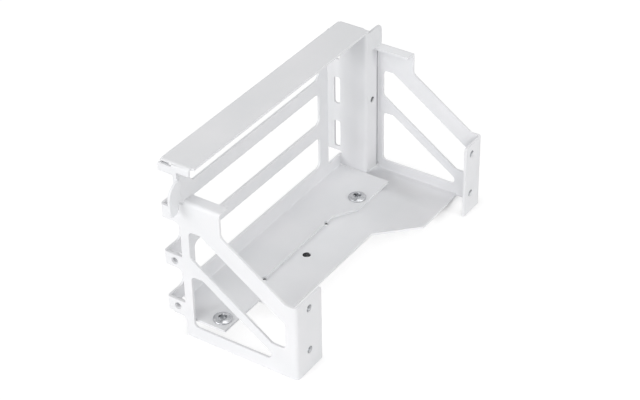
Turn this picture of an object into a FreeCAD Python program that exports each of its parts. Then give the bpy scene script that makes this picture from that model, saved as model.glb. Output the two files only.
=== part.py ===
"""Vertical graphics-card mount: a folded slot frame clamped by two screws to a folded base bracket.

The sizes below are measured from the left corner of the slot panel: x runs along the panel, depth
runs from the panel's front face towards the case, and z is up from the top of the frame's floor.
The finished pieces are moved so that the origin is the centre of the four case screws.
"""
import FreeCAD, Part
import math
import os

Vector = FreeCAD.Vector

# Sheet
SHEET = 1.0
BEND_INSIDE = 0.5
BEND_OUTSIDE = BEND_INSIDE + SHEET
CORNER = 0.6

# Span over the outer faces of the side plates, and the bays inside it from the right
SIDE_SPAN = 130.2
SIDE_BAY = 15.9
TONGUE_WINDOW_WIDTH = 8.7
PANEL_STRIP = 6.0
WALL_X = SIDE_SPAN - SIDE_BAY
PANEL_RIGHT_EDGE = WALL_X - TONGUE_WINDOW_WIDTH

# Expansion slots
SLOT_COUNT = 3
SLOT_PITCH = 20.32
SLOT_OPENING_HEIGHT = 14.0
SLOT_OPENING_BOTTOM = 6.9
SLOT_OPENING_START = 16.6
SLOT_OPENING_END = PANEL_RIGHT_EDGE - PANEL_STRIP
SLOT_OPENING_CORNER = 2.6
SLOTS_TOP = SLOT_OPENING_BOTTOM + (SLOT_COUNT - 1) * SLOT_PITCH + SLOT_OPENING_HEIGHT

# Panel and top flange
PANEL_TOP_MARGIN = 4.86
PANEL_HEIGHT = SLOTS_TOP + PANEL_TOP_MARGIN
PANEL_FOOT_HEIGHT = 4.7
FLANGE_DEPTH = 13.8
FLANGE_LEFT = 0.3
FLANGE_OVERHANG = 1.3

# Screw tabs on the left
TAB_HEIGHT = 5.6
TAB_TOP = 7.1
TAB_HOLE_DEPTH = 3.9
TAB_HOLE_DIAMETER = 2.9
TAB_HOLE_DROP = 2.8
WINDOW_WIDTH = 9.6
WINDOW_CORNER = 3.0

# Flap and hook at the left end of the top flange
FLAP_HEIGHT = 4.8
FLAP_BOTTOM = PANEL_HEIGHT - FLAP_HEIGHT
FLAP_REAR = -SHEET
FLAP_FRONT = FLANGE_DEPTH - FLANGE_OVERHANG
FLAP_FRONT_HEIGHT = 3.2
FLAP_FRONT_BOTTOM = PANEL_HEIGHT - FLAP_FRONT_HEIGHT
FLAP_SLOT_LENGTH = 4.5
FLAP_SLOT_HEIGHT = 1.0
FLAP_SLOT_DEPTH = 2.75
FLAP_SLOT_DROP = 0.95
FLAP_SLOT_Z = PANEL_HEIGHT - FLAP_SLOT_DROP
FLAP_SLOT_CORNER = 0.45
HOOK_DEPTH = 8.6
HOOK_REACH = 6.3
HOOK_DROP = 5.6
HOOK_ROOT_HEIGHT = 7.2
HOOK_HEIGHT = 12.8
HOOK_TOP = PANEL_HEIGHT - HOOK_DROP
HOOK_UNDERSIDE = HOOK_TOP - HOOK_ROOT_HEIGHT
HOOK_TIP = HOOK_TOP - HOOK_HEIGHT
HOOK_ARM_WIDTH = 4.3
HOOK_SHOULDER = HOOK_REACH - 2 * BEND_INSIDE
HOOK_LEG = 3.2

# End wall and post on the right
WALL_REAR = -6.0
WALL_FRONT = FLANGE_DEPTH - FLANGE_OVERHANG
WALL_FOOT = -0.2
WALL_REAR_FOOT = 6.2
WALL_REAR_DROP = 5.4
WALL_REAR_TOP = PANEL_HEIGHT - WALL_REAR_DROP
TONGUE_SLOT_WIDTH = 2.7
TONGUE_SLOT_HEIGHT = 12.2
TONGUE_SLOT_DEPTH = -1.4
TONGUE_SLOT_BOTTOM = 8.1
TONGUE_SLOT_CORNER = 0.9
POST_WIDTH = 7.0
POST_DROP = 2.8
POST_TOP = PANEL_HEIGHT - POST_DROP
POST_HOLE_Z = 32.5
POST_HOLE_DIAMETER = 2.5
EAR_WIDTH = 11.2
EAR_HEIGHT = 8.7
EAR_BOTTOM = POST_TOP - EAR_HEIGHT
EAR_CORNER = 2.4
POST_NOTCH_WIDTH = 3.4
POST_NOTCH_HEIGHT = 10.1
POST_NOTCH_BOTTOM = EAR_BOTTOM - POST_NOTCH_HEIGHT

# Floor of the slot frame
FLOOR_GAP = 0.6
FLOOR_WALL_GAP = 0.3
FLOOR_RIGHT = WALL_X - FLOOR_WALL_GAP
FLOOR_DEPTH = 17.4
FLOOR_TAB_DEPTH = 23.3
FLOOR_TAB_LENGTH = 22.5
FLOOR_STEP_LENGTH = 9.6
PILOT_DIAMETER = 1.8
PILOT_INSET = 33.4
PILOT_SPAN = 41.9

# Triangular side plates
SIDE_BACK = 7.4
SIDE_TOP = 52.2
SIDE_HEAD_DEPTH = 24.7
SIDE_HEAD_CORNER = 2.5
SIDE_HEAD_BOTTOM = 42.7
SIDE_DEPTH = 55.9
SIDE_FOOT_TOP = 24.4
SIDE_FOOT_DEPTH = 4.6
SIDE_BOTTOM = -7.6
SIDE_BAR = 3.5
SIDE_LIP_WIDTH = 5.5
SIDE_LIP_BACK = 9.2
SIDE_DIAGONAL_WIDTH = 7.3
STRUT_WIDTH = 3.75
UPPER_CUTOUT_TOP = 40.0
UPPER_CUTOUT_FRONT = 50.9
UPPER_CUTOUT_HEIGHT = 12.3
UPPER_CUTOUT_END = 11.0
LOWER_CUTOUT_TOP = 20.4
LOWER_CUTOUT_BOTTOM = -2.4
LOWER_CUTOUT_NOSE = 3.0
CUTOUT_CORNER = 1.8

# Return flange on the back edge of the right side plate, behind the post
RETURN_BACK = 7.6
RETURN_WIDTH = 11.0
RETURN_FOOT = -5.6
RETURN_FOOT_RISE = 2.2

# End flanges and the case screw holes
LEFT_FLANGE_WIDTH = 15.6
RIGHT_FLANGE_WIDTH = 12.3
CASE_HOLE_INSET = 7.85
CASE_HOLE_PITCH = 18.5
CASE_HOLE_LOWER_Z = 1.4
CASE_HOLE_DIAMETER = 2.9

# Collars drawn round the tapped holes
COLLAR_HEIGHT = 1.4
COLLAR_WALL = 0.55

# Base plate under the floor
BASE_BACK = 6.0
BASE_ARM_LEFT = 3.0
BASE_ARM_DEPTH = 21.4
BASE_LEFT = 24.0
BASE_DEPTH = 35.6
BASE_WIDE_DEPTH = 50.2
BASE_FOOT_WIDTH = 3.0
BASE_RAMP_LENGTH = 20.2
BASE_STEP_LEAD = 26.0
BASE_RAMP_END = SIDE_SPAN - BASE_FOOT_WIDTH
BASE_RAMP_START = BASE_RAMP_END - BASE_RAMP_LENGTH
BASE_STEP_START = BASE_RAMP_START - BASE_STEP_LEAD
BASE_SIDE_DEPTH = 46.0
RISER_HOLE_X = 56.4
RISER_HOLE_DEPTH = 22.0
RISER_HOLE_DIAMETER = 3.2

# Clamp screws
SCREW_LEFT_INSET = 5.1
SCREW_RIGHT_INSET = 16.5
SCREW_X = (SHEET + FLOOR_GAP + SCREW_LEFT_INSET, FLOOR_RIGHT - SCREW_RIGHT_INSET)
SCREW_DEPTH = 18.7
SCREW_DIAMETER = 3.5
SCREW_LENGTH = 2.8
SCREW_HEAD_DIAMETER = 7.2
SCREW_HEAD_HEIGHT = 1.4
SCREW_HEAD_RIM = 0.5
RECESS_WIDTH = 1.3
RECESS_LENGTH = 4.2
RECESS_DEPTH = 1.4
THREAD_CLEARANCE = 0.1
SCREW_CLEARANCE = 0.6

CUT_MARGIN = 5.0


def on_side(x):
    """Plane square to the panel at x: a point is depth, z."""
    return lambda u, v: Vector(x, -u, v)


def on_front(depth):
    """Plane parallel to the panel at this depth: a point is x, z."""
    return lambda u, v: Vector(u, -depth, v)


def on_plan(z):
    """Level plane at z: a point is x, depth."""
    return lambda u, v: Vector(u, -v, z)


def outline(plane, corners):
    """Closed wire through corners of (u, v, radius), each corner rounded by its radius."""
    starts, ends, middles = [], [], []
    count = len(corners)
    for i, (u, v, radius) in enumerate(corners):
        here = Vector(u, v, 0)
        to_last = Vector(*corners[i - 1][:2], 0) - here
        to_next = Vector(*corners[(i + 1) % count][:2], 0) - here
        half = to_last.getAngle(to_next) / 2
        to_last.normalize()
        to_next.normalize()
        reach = radius / math.tan(half)
        starts.append(here + to_last * reach)
        ends.append(here + to_next * reach)
        inwards = to_last + to_next
        inwards.normalize()
        middles.append(here + inwards * (radius / math.sin(half) - radius))
    edges = []
    for i in range(count):
        start, middle, end = (plane(p.x, p.y) for p in (starts[i], middles[i], ends[i]))
        if corners[i][2] > 0:
            edges.append(Part.Arc(start, middle, end).toShape())
        following = starts[(i + 1) % count]
        edges.append(Part.LineSegment(end, plane(following.x, following.y)).toShape())
    return Part.Wire(edges)


def plate(plane, direction, corners, thickness=SHEET):
    """Flat sheet with rounded corners, thickened along direction."""
    return Part.Face(outline(plane, corners)).extrude(direction * thickness)


def rectangle(u0, v0, u1, v1, radius):
    """Corners of a rounded rectangle."""
    return [(u0, v0, radius), (u1, v0, radius), (u1, v1, radius), (u0, v1, radius)]


def cutter(plane, direction, corners):
    """Prism through a sheet, standing out on both faces."""
    prism = plate(plane, direction, corners, SHEET + 2 * CUT_MARGIN)
    return prism.translated(direction * -CUT_MARGIN)


def drill(centre, direction, diameter):
    """Round cutter through a sheet at centre."""
    length = SHEET + 2 * CUT_MARGIN
    return Part.makeCylinder(diameter / 2, length, centre - direction * CUT_MARGIN, direction)


def fold(axis_start, axis_end, first, second):
    """Quarter-round fold about the axis, between the two outward directions first and second."""
    run = axis_end - axis_start
    along = Vector(run).normalize()
    tube = Part.makeCylinder(BEND_OUTSIDE, run.Length, axis_start, along)
    tube = tube.cut(Part.makeCylinder(BEND_INSIDE, run.Length, axis_start, along))
    square = Part.makePolygon([
        axis_start,
        axis_start + first * BEND_OUTSIDE,
        axis_start + (first + second) * BEND_OUTSIDE,
        axis_start + second * BEND_OUTSIDE,
        axis_start,
    ])
    return tube.common(Part.Face(square).extrude(run))


def collar(centre, direction, diameter):
    """Collar drawn out of a sheet round a tapped hole, standing along direction from its face at centre."""
    outer = Part.makeCylinder(diameter / 2 + COLLAR_WALL, COLLAR_HEIGHT, centre, direction)
    return outer.cut(Part.makeCylinder(diameter / 2, COLLAR_HEIGHT, centre, direction))


def joined(shapes):
    """One solid from sheets and folds that meet face to face."""
    return shapes[0].fuse(shapes[1:]).removeSplitter()


RIGHTWARDS = Vector(1, 0, 0)
BACKWARDS = Vector(0, 1, 0)
UPWARDS = Vector(0, 0, 1)


def tab_spans():
    """Lowest and highest z of each screw tab, from the bottom slot up."""
    tops = [TAB_TOP + i * SLOT_PITCH for i in range(SLOT_COUNT)]
    return [(top - TAB_HEIGHT, top) for top in tops]


def slot_panel():
    """Flat slot panel with its card openings and the windows beside the screw tabs."""
    low = BEND_INSIDE
    high = PANEL_HEIGHT - BEND_OUTSIDE
    front = on_front(0)
    panel = plate(front, BACKWARDS, rectangle(BEND_OUTSIDE, low, WALL_X, high, 0))
    cuts = []
    for i in range(SLOT_COUNT):
        bottom = SLOT_OPENING_BOTTOM + i * SLOT_PITCH
        corners = rectangle(SLOT_OPENING_START, bottom, SLOT_OPENING_END,
                            bottom + SLOT_OPENING_HEIGHT, SLOT_OPENING_CORNER)
        cuts.append(cutter(front, BACKWARDS, corners))
    spans = tab_spans()
    floors = [top for _, top in spans]
    ceilings = [bottom for bottom, _ in spans[1:]] + [FLAP_BOTTOM]
    for bottom, top in zip(floors, ceilings):
        corners = [(-CUT_MARGIN, bottom, 0), (WINDOW_WIDTH, bottom, WINDOW_CORNER),
                   (WINDOW_WIDTH, top, WINDOW_CORNER), (-CUT_MARGIN, top, 0)]
        cuts.append(cutter(front, BACKWARDS, corners))
    lowest = spans[0][0]
    cuts.append(cutter(front, BACKWARDS, rectangle(-CUT_MARGIN, -CUT_MARGIN, WINDOW_WIDTH, lowest, 0)))
    corners = [(PANEL_RIGHT_EDGE, PANEL_FOOT_HEIGHT, CORNER), (WALL_X + CUT_MARGIN, PANEL_FOOT_HEIGHT, 0),
               (WALL_X + CUT_MARGIN, SLOTS_TOP, 0), (PANEL_RIGHT_EDGE, SLOTS_TOP, CORNER)]
    cuts.append(cutter(front, BACKWARDS, corners))
    flap_side = FLANGE_LEFT + BEND_OUTSIDE
    beside_flap = rectangle(-CUT_MARGIN, FLAP_BOTTOM - CUT_MARGIN, flap_side, PANEL_HEIGHT, 0)
    cuts.append(cutter(front, BACKWARDS, beside_flap))
    return panel.cut(cuts)


def top_flange():
    """Top flange with the fold that joins it to the panel."""
    back = BEND_INSIDE
    left = FLANGE_LEFT + BEND_OUTSIDE
    right = WALL_X + SHEET - BEND_OUTSIDE
    corners = [(left, back, 0), (right, back, 0), (right, FLANGE_DEPTH, 0), (left, FLANGE_DEPTH, 0)]
    sheet = plate(on_plan(PANEL_HEIGHT - SHEET), UPWARDS, corners)
    centre_z = PANEL_HEIGHT - BEND_OUTSIDE
    back_fold = fold(Vector(left, -back, centre_z), Vector(right, -back, centre_z), BACKWARDS, UPWARDS)
    return [sheet, back_fold]


def flap_and_hook():
    """Flap folded down at the flange's left end, slotted along its fold, with the hook folded out of it."""
    outer = FLANGE_LEFT
    fold_x = outer + BEND_OUTSIDE
    fold_z = PANEL_HEIGHT - BEND_OUTSIDE
    hook_fold_depth = HOOK_DEPTH - BEND_OUTSIDE
    corners = [(FLAP_REAR, FLAP_BOTTOM, CORNER), (HOOK_DEPTH - HOOK_LEG, FLAP_BOTTOM, CORNER),
               (HOOK_DEPTH - HOOK_LEG, HOOK_UNDERSIDE, 0), (hook_fold_depth, HOOK_UNDERSIDE, 0),
               (hook_fold_depth, FLAP_FRONT_BOTTOM, 0), (FLAP_FRONT, FLAP_FRONT_BOTTOM, CORNER),
               (FLAP_FRONT, fold_z, 0), (FLAP_REAR, fold_z, CORNER)]
    flap = plate(on_side(outer), RIGHTWARDS, corners)
    half_length = FLAP_SLOT_LENGTH / 2
    half_height = FLAP_SLOT_HEIGHT / 2
    slot = rectangle(FLAP_SLOT_DEPTH - half_length, FLAP_SLOT_Z - half_height,
                     FLAP_SLOT_DEPTH + half_length, FLAP_SLOT_Z + half_height, FLAP_SLOT_CORNER)
    top_fold = fold(Vector(fold_x, -FLAP_FRONT, fold_z), Vector(fold_x, -BEND_INSIDE, fold_z),
                    RIGHTWARDS * -1, UPWARDS)
    top_fold = top_fold.cut(plate(on_side(outer), RIGHTWARDS, slot, BEND_OUTSIDE))
    hook_x = outer + SHEET - BEND_OUTSIDE
    hook_fold = fold(Vector(hook_x, -hook_fold_depth, HOOK_UNDERSIDE),
                     Vector(hook_x, -hook_fold_depth, HOOK_TOP), RIGHTWARDS, BACKWARDS * -1)
    tip = outer - HOOK_REACH
    inner = tip + HOOK_ARM_WIDTH
    tip_round = HOOK_ARM_WIDTH / 2 - CORNER / 2
    corners = [(hook_x, HOOK_UNDERSIDE, 0), (hook_x, HOOK_TOP, 0), (tip, HOOK_TOP, HOOK_SHOULDER),
               (tip, HOOK_TIP, tip_round), (inner, HOOK_TIP, tip_round),
               (inner, HOOK_UNDERSIDE, CORNER)]
    hook = plate(on_front(HOOK_DEPTH), BACKWARDS, corners)
    return [flap, top_fold, hook_fold, hook]


def wall_and_post():
    """End wall with the tongue slots, folded from the top flange, and its front post with the ear."""
    fold_z = PANEL_HEIGHT - BEND_OUTSIDE
    fold_depth = WALL_FRONT - BEND_OUTSIDE
    right = WALL_X + SHEET
    corners = [(BEND_INSIDE, WALL_FOOT, CORNER), (fold_depth, WALL_FOOT, 0), (fold_depth, fold_z, 0),
               (BEND_INSIDE, fold_z, 0), (BEND_INSIDE, WALL_REAR_TOP, 0), (WALL_REAR, WALL_REAR_TOP, CORNER),
               (WALL_REAR, WALL_REAR_FOOT, CORNER), (BEND_INSIDE, WALL_REAR_FOOT, CORNER)]
    wall = plate(on_side(WALL_X), RIGHTWARDS, corners)
    for i in range(SLOT_COUNT):
        bottom = TONGUE_SLOT_BOTTOM + i * SLOT_PITCH
        slot = rectangle(TONGUE_SLOT_DEPTH - TONGUE_SLOT_WIDTH / 2, bottom,
                         TONGUE_SLOT_DEPTH + TONGUE_SLOT_WIDTH / 2, bottom + TONGUE_SLOT_HEIGHT,
                         TONGUE_SLOT_CORNER)
        wall = wall.cut(cutter(on_side(WALL_X), RIGHTWARDS, slot))
    top_fold = fold(Vector(right - BEND_OUTSIDE, -fold_depth, fold_z),
                    Vector(right - BEND_OUTSIDE, -BEND_INSIDE, fold_z), RIGHTWARDS, UPWARDS)
    post_x = WALL_X + BEND_OUTSIDE
    post_fold = fold(Vector(post_x, -fold_depth, WALL_FOOT), Vector(post_x, -fold_depth, POST_TOP),
                     RIGHTWARDS * -1, BACKWARDS * -1)
    edge = WALL_X + POST_WIDTH
    ear = WALL_X + EAR_WIDTH
    notch = edge - POST_NOTCH_WIDTH
    corners = [(post_x, WALL_FOOT, 0), (edge, WALL_FOOT, CORNER), (edge, POST_NOTCH_BOTTOM, CORNER),
               (notch, EAR_BOTTOM, CORNER), (ear, EAR_BOTTOM, CORNER), (ear, POST_TOP, EAR_CORNER),
               (post_x, POST_TOP, 0)]
    post = plate(on_front(WALL_FRONT), BACKWARDS, corners)
    hole_x = (post_x + edge) / 2
    post = post.cut(drill(Vector(hole_x, -WALL_FRONT, POST_HOLE_Z), BACKWARDS, POST_HOLE_DIAMETER))
    post_collar = collar(Vector(hole_x, SHEET - WALL_FRONT, POST_HOLE_Z), BACKWARDS, POST_HOLE_DIAMETER)
    return [wall, top_fold, post_fold, post, post_collar]


def pilots(z):
    """Cutters for the two pilot holes on the floor's front edge, through a sheet whose underside is at z."""
    first = SHEET + FLOOR_GAP + PILOT_INSET
    return [drill(Vector(x, -FLOOR_DEPTH, z), UPWARDS, PILOT_DIAMETER) for x in (first, first + PILOT_SPAN)]


def floor():
    """Floor folded from the foot of the panel, with a screw tab at each end of its front edge."""
    left = SHEET + FLOOR_GAP
    right = FLOOR_RIGHT
    back = BEND_INSIDE
    left_tab = left + FLOOR_TAB_LENGTH
    right_tab = right - FLOOR_TAB_LENGTH
    corners = [(left, back, 0), (right, back, 0), (right, FLOOR_TAB_DEPTH, CORNER),
               (right_tab, FLOOR_TAB_DEPTH, CORNER), (right_tab - FLOOR_STEP_LENGTH, FLOOR_DEPTH, CORNER),
               (left_tab + FLOOR_STEP_LENGTH, FLOOR_DEPTH, CORNER), (left_tab, FLOOR_TAB_DEPTH, CORNER),
               (left, FLOOR_TAB_DEPTH, CORNER)]
    sheet = plate(on_plan(-SHEET), UPWARDS, corners)
    cuts = [drill(Vector(x, -SCREW_DEPTH, -SHEET), UPWARDS, SCREW_DIAMETER + SCREW_CLEARANCE)
            for x in SCREW_X]
    cuts += pilots(-SHEET)
    back_fold = fold(Vector(WINDOW_WIDTH, -back, back), Vector(right, -back, back), BACKWARDS, UPWARDS * -1)
    return [sheet.cut(cuts), back_fold]


def side_outline(back):
    """Corners of a triangular side plate from its back edge to the fold of its end flange."""
    top = SIDE_TOP - BEND_OUTSIDE
    front = SIDE_DEPTH - BEND_OUTSIDE
    return [(back, top, 0), (SIDE_HEAD_DEPTH, top, 0), (SIDE_HEAD_DEPTH, SIDE_HEAD_BOTTOM, SIDE_HEAD_CORNER),
            (SIDE_DEPTH - SIDE_FOOT_DEPTH, SIDE_FOOT_TOP, CORNER), (front, SIDE_FOOT_TOP, 0),
            (front, SIDE_BOTTOM, 0), (back, SIDE_BOTTOM, CORNER)]


def diagonal_slope():
    """Fall of the side plate's sloping bars, for each millimetre of depth."""
    run = SIDE_DEPTH - SIDE_FOOT_DEPTH - SIDE_HEAD_DEPTH
    return (SIDE_HEAD_BOTTOM - SIDE_FOOT_TOP) / run


def side_cutouts():
    """Corners of the two lightening cut-outs: a sloping one over a triangle, with a strut between."""
    slope = diagonal_slope()
    upright = math.hypot(1, slope)
    start = SIDE_BACK + SIDE_BAR
    outer = SIDE_HEAD_BOTTOM + slope * SIDE_HEAD_DEPTH
    upper_top = outer - SIDE_DIAGONAL_WIDTH * upright
    strut_top = upper_top - UPPER_CUTOUT_HEIGHT * upright
    strut_bottom = strut_top - STRUT_WIDTH * upright

    def height_at(line, depth):
        return line - slope * depth

    def depth_at(line, z):
        return (line - z) / slope

    end_top = height_at(upper_top, UPPER_CUTOUT_FRONT)
    end_bottom = end_top - UPPER_CUTOUT_END
    upper = [(start, UPPER_CUTOUT_TOP), (depth_at(upper_top, UPPER_CUTOUT_TOP), UPPER_CUTOUT_TOP),
             (UPPER_CUTOUT_FRONT, end_top), (UPPER_CUTOUT_FRONT, end_bottom),
             (depth_at(strut_top, end_bottom), end_bottom), (start, height_at(strut_top, start))]
    nose_z = LOWER_CUTOUT_BOTTOM + LOWER_CUTOUT_NOSE
    nose = depth_at(strut_bottom, nose_z)
    lower = [(start, LOWER_CUTOUT_BOTTOM), (nose, LOWER_CUTOUT_BOTTOM), (nose, nose_z),
             (depth_at(strut_bottom, LOWER_CUTOUT_TOP), LOWER_CUTOUT_TOP), (start, LOWER_CUTOUT_TOP)]
    return [[(u, v, CUTOUT_CORNER) for u, v in corners] for corners in (upper, lower)]


def side_plate(corners, flange_width):
    """Triangular side plate in the plane x = 0, with its top lip and end flange folded inwards."""
    plane = on_side(0)
    sheet = plate(plane, RIGHTWARDS, corners)
    sheet = sheet.cut([cutter(plane, RIGHTWARDS, cutout) for cutout in side_cutouts()])
    inset = BEND_OUTSIDE
    lip_z = SIDE_TOP - BEND_OUTSIDE
    lip_fold = fold(Vector(inset, -SIDE_HEAD_DEPTH, lip_z), Vector(inset, -SIDE_LIP_BACK, lip_z),
                    RIGHTWARDS * -1, UPWARDS)
    lip_corners = [(inset, SIDE_LIP_BACK, 0), (SIDE_LIP_WIDTH, SIDE_LIP_BACK, CORNER),
                   (SIDE_LIP_WIDTH, SIDE_HEAD_DEPTH, CORNER), (inset, SIDE_HEAD_DEPTH, 0)]
    lip = plate(on_plan(SIDE_TOP - SHEET), UPWARDS, lip_corners)
    end = SIDE_DEPTH - BEND_OUTSIDE
    end_fold = fold(Vector(inset, -end, SIDE_BOTTOM), Vector(inset, -end, SIDE_FOOT_TOP),
                    RIGHTWARDS * -1, BACKWARDS * -1)
    end_corners = [(inset, SIDE_BOTTOM, 0), (flange_width, SIDE_BOTTOM, CORNER),
                   (flange_width, SIDE_FOOT_TOP, CORNER), (inset, SIDE_FOOT_TOP, 0)]
    end_flange = plate(on_front(SIDE_DEPTH), BACKWARDS, end_corners)
    for z in (CASE_HOLE_LOWER_Z, CASE_HOLE_LOWER_Z + CASE_HOLE_PITCH):
        centre = Vector(CASE_HOLE_INSET, -SIDE_DEPTH, z)
        end_flange = end_flange.cut(drill(centre, BACKWARDS, CASE_HOLE_DIAMETER))
        end_flange = end_flange.fuse(collar(centre + BACKWARDS * SHEET, BACKWARDS, CASE_HOLE_DIAMETER))
    return [sheet, lip_fold, lip, end_fold, end_flange]


def left_side():
    """Left side plate with the screw tabs that fold round into the panel's fingers."""
    corners = side_outline(SIDE_BACK)
    folds = []
    for low, high in tab_spans():
        corners += [(SIDE_BACK, low, WINDOW_CORNER), (BEND_INSIDE, low, 0),
                    (BEND_INSIDE, high, 0), (SIDE_BACK, high, CORNER)]
        folds.append(fold(Vector(BEND_OUTSIDE, -BEND_INSIDE, low), Vector(BEND_OUTSIDE, -BEND_INSIDE, high),
                          RIGHTWARDS * -1, BACKWARDS))
    pieces = side_plate(corners, LEFT_FLANGE_WIDTH)
    centres = [Vector(0, -TAB_HOLE_DEPTH, high - TAB_HOLE_DROP) for _, high in tab_spans()]
    holes = [drill(centre, RIGHTWARDS, TAB_HOLE_DIAMETER) for centre in centres]
    collars = [collar(centre + RIGHTWARDS * SHEET, RIGHTWARDS, TAB_HOLE_DIAMETER) for centre in centres]
    return [pieces[0].cut(holes)] + pieces[1:] + folds + collars


def slot_frame():
    """The folded slot frame, panel by panel: each has its own folds and meets the next at a bend line."""
    return {
        "slot_panel": slot_panel(),
        "top_flange": joined(top_flange() + flap_and_hook()),
        "end_wall": joined(wall_and_post()),
        "frame_floor": joined(floor()),
        "left_side": joined(left_side()),
    }


def return_flange():
    """Flange folded inwards from the back edge of the side plate in the plane x = 0, with its fold."""
    inset = BEND_OUTSIDE
    low = RETURN_FOOT
    high = SIDE_TOP - BEND_OUTSIDE
    bend = -(RETURN_BACK + BEND_OUTSIDE)
    back_fold = fold(Vector(inset, bend, low), Vector(inset, bend, high), RIGHTWARDS * -1, BACKWARDS)
    corners = [(inset, low, 0), (RETURN_WIDTH, low + RETURN_FOOT_RISE, CORNER), (RETURN_WIDTH, high, CORNER),
               (inset, high, 0)]
    return [back_fold, plate(on_front(RETURN_BACK + SHEET), BACKWARDS, corners)]


def base_plate():
    """Base plate with its ramp, cut to its outline and drilled."""
    right = SIDE_SPAN - BEND_OUTSIDE
    top = -SHEET
    foot = SIDE_BOTTOM + SHEET
    tilt = math.atan2(top - foot, BASE_RAMP_END - BASE_RAMP_START)
    mitre = SHEET * math.tan(tilt / 2)
    section = [(BASE_ARM_LEFT, top, 0), (BASE_RAMP_START, top, 0), (BASE_RAMP_END, foot, 0),
               (right, foot, 0), (right, foot - SHEET, 0), (BASE_RAMP_END - mitre, foot - SHEET, 0),
               (BASE_RAMP_START - mitre, top - SHEET, 0), (BASE_ARM_LEFT, top - SHEET, 0)]
    bent = plate(on_front(BASE_WIDE_DEPTH), BACKWARDS, section, BASE_WIDE_DEPTH - BASE_BACK)
    step = BASE_WIDE_DEPTH - BASE_DEPTH
    corners = [(BASE_ARM_LEFT, BASE_BACK, CORNER), (right, BASE_BACK, 0), (right, BASE_SIDE_DEPTH, 0),
               (BASE_RAMP_START, BASE_WIDE_DEPTH, CORNER), (BASE_STEP_START + step, BASE_WIDE_DEPTH, CORNER),
               (BASE_STEP_START, BASE_DEPTH, CORNER), (BASE_LEFT, BASE_DEPTH, CORNER),
               (BASE_LEFT, BASE_ARM_DEPTH, CORNER), (BASE_ARM_LEFT, BASE_ARM_DEPTH, CORNER)]
    tall = plate(on_plan(SIDE_BOTTOM - CUT_MARGIN), UPWARDS, corners, SIDE_TOP)
    holes = [drill(Vector(x, -SCREW_DEPTH, top - SHEET), UPWARDS, SCREW_DIAMETER + 2 * THREAD_CLEARANCE)
             for x in SCREW_X]
    riser = Vector(RISER_HOLE_X, -RISER_HOLE_DEPTH, top - SHEET)
    holes.append(drill(riser, UPWARDS, RISER_HOLE_DIAMETER))
    drilled = bent.common(tall).cut(holes + pilots(top - SHEET))
    return drilled.fuse(collar(riser, UPWARDS * -1, RISER_HOLE_DIAMETER))


def base_bracket():
    """The folded base bracket: base plate, and the right side plate that meets it at the foot's bend line."""
    centre_x = SIDE_SPAN / 2
    folded = side_plate(side_outline(RETURN_BACK + BEND_OUTSIDE), RIGHT_FLANGE_WIDTH) + return_flange()
    pieces = [piece.mirror(Vector(centre_x, 0, 0), RIGHTWARDS) for piece in folded]
    fold_z = SIDE_BOTTOM + BEND_OUTSIDE
    relief = rectangle(BASE_BACK, SIDE_BOTTOM - CUT_MARGIN, BASE_SIDE_DEPTH, fold_z, 0)
    side = pieces[0].cut(cutter(on_side(SIDE_SPAN - SHEET), RIGHTWARDS, relief))
    fold_x = SIDE_SPAN - BEND_OUTSIDE
    foot_fold = fold(Vector(fold_x, -BASE_SIDE_DEPTH, fold_z), Vector(fold_x, -BASE_BACK, fold_z),
                     RIGHTWARDS, UPWARDS * -1)
    return {"base_plate": joined([base_plate(), foot_fold]), "right_side": joined([side] + pieces[1:])}


def clamp_screw(x):
    """Pan-head screw with a cross recess, seated on the floor at x."""
    radius = SCREW_HEAD_DIAMETER / 2
    shank = SCREW_DIAMETER / 2
    rise = SCREW_HEAD_HEIGHT - SCREW_HEAD_RIM
    dome = (radius ** 2 + rise ** 2) / (2 * rise)
    half_angle = math.asin(radius / dome) / 2
    shoulder_z = SCREW_HEAD_HEIGHT - dome * (1 - math.cos(half_angle))
    shoulder = Vector(dome * math.sin(half_angle), 0, shoulder_z)
    crown = Part.Arc(Vector(radius, 0, SCREW_HEAD_RIM), shoulder, Vector(0, 0, SCREW_HEAD_HEIGHT))
    path = Part.makePolygon([Vector(0, 0, SCREW_HEAD_HEIGHT), Vector(0, 0, -SCREW_LENGTH),
                             Vector(shank - CORNER, 0, -SCREW_LENGTH),
                             Vector(shank, 0, CORNER - SCREW_LENGTH), Vector(shank, 0, 0),
                             Vector(radius, 0, 0), Vector(radius, 0, SCREW_HEAD_RIM)])
    body = Part.Face(Part.Wire(path.Edges + [crown.toShape()])).revolve(Vector(0, 0, 0), UPWARDS, 360)
    top = SCREW_HEAD_HEIGHT + CUT_MARGIN
    bottom = SCREW_HEAD_HEIGHT - RECESS_DEPTH
    half = RECESS_LENGTH / 2
    wing = [(-half, top, 0), (-half, SCREW_HEAD_HEIGHT, 0), (-half / 2, bottom, 0), (half / 2, bottom, 0),
            (half, SCREW_HEAD_HEIGHT, 0), (half, top, 0)]
    slot = plate(on_front(RECESS_WIDTH / 2), BACKWARDS, wing, RECESS_WIDTH)
    crossed = slot.rotated(Vector(0, 0, 0), UPWARDS, 90)
    return body.cut([slot, crossed]).translated(Vector(x, -SCREW_DEPTH, 0))


def clamp_screws():
    """Both clamp screws as one group."""
    return Part.makeCompound([clamp_screw(x) for x in SCREW_X])


def main():
    """Write each piece in the frame of the case screws."""
    os.makedirs("parts", exist_ok=True)
    screw_centre_z = CASE_HOLE_LOWER_Z + CASE_HOLE_PITCH / 2
    to_origin = Vector(-SIDE_SPAN / 2, SIDE_DEPTH, -screw_centre_z)
    pieces = {**slot_frame(), **base_bracket(), "clamp_screws": clamp_screws()}
    for name, shape in pieces.items():
        placed = shape.translated(to_origin)
        placed.exportStep("parts/" + name + ".step")
        print(name, len(placed.Solids), "solids", round(placed.Volume, 1), "mm3", placed.isValid())


main()
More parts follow.
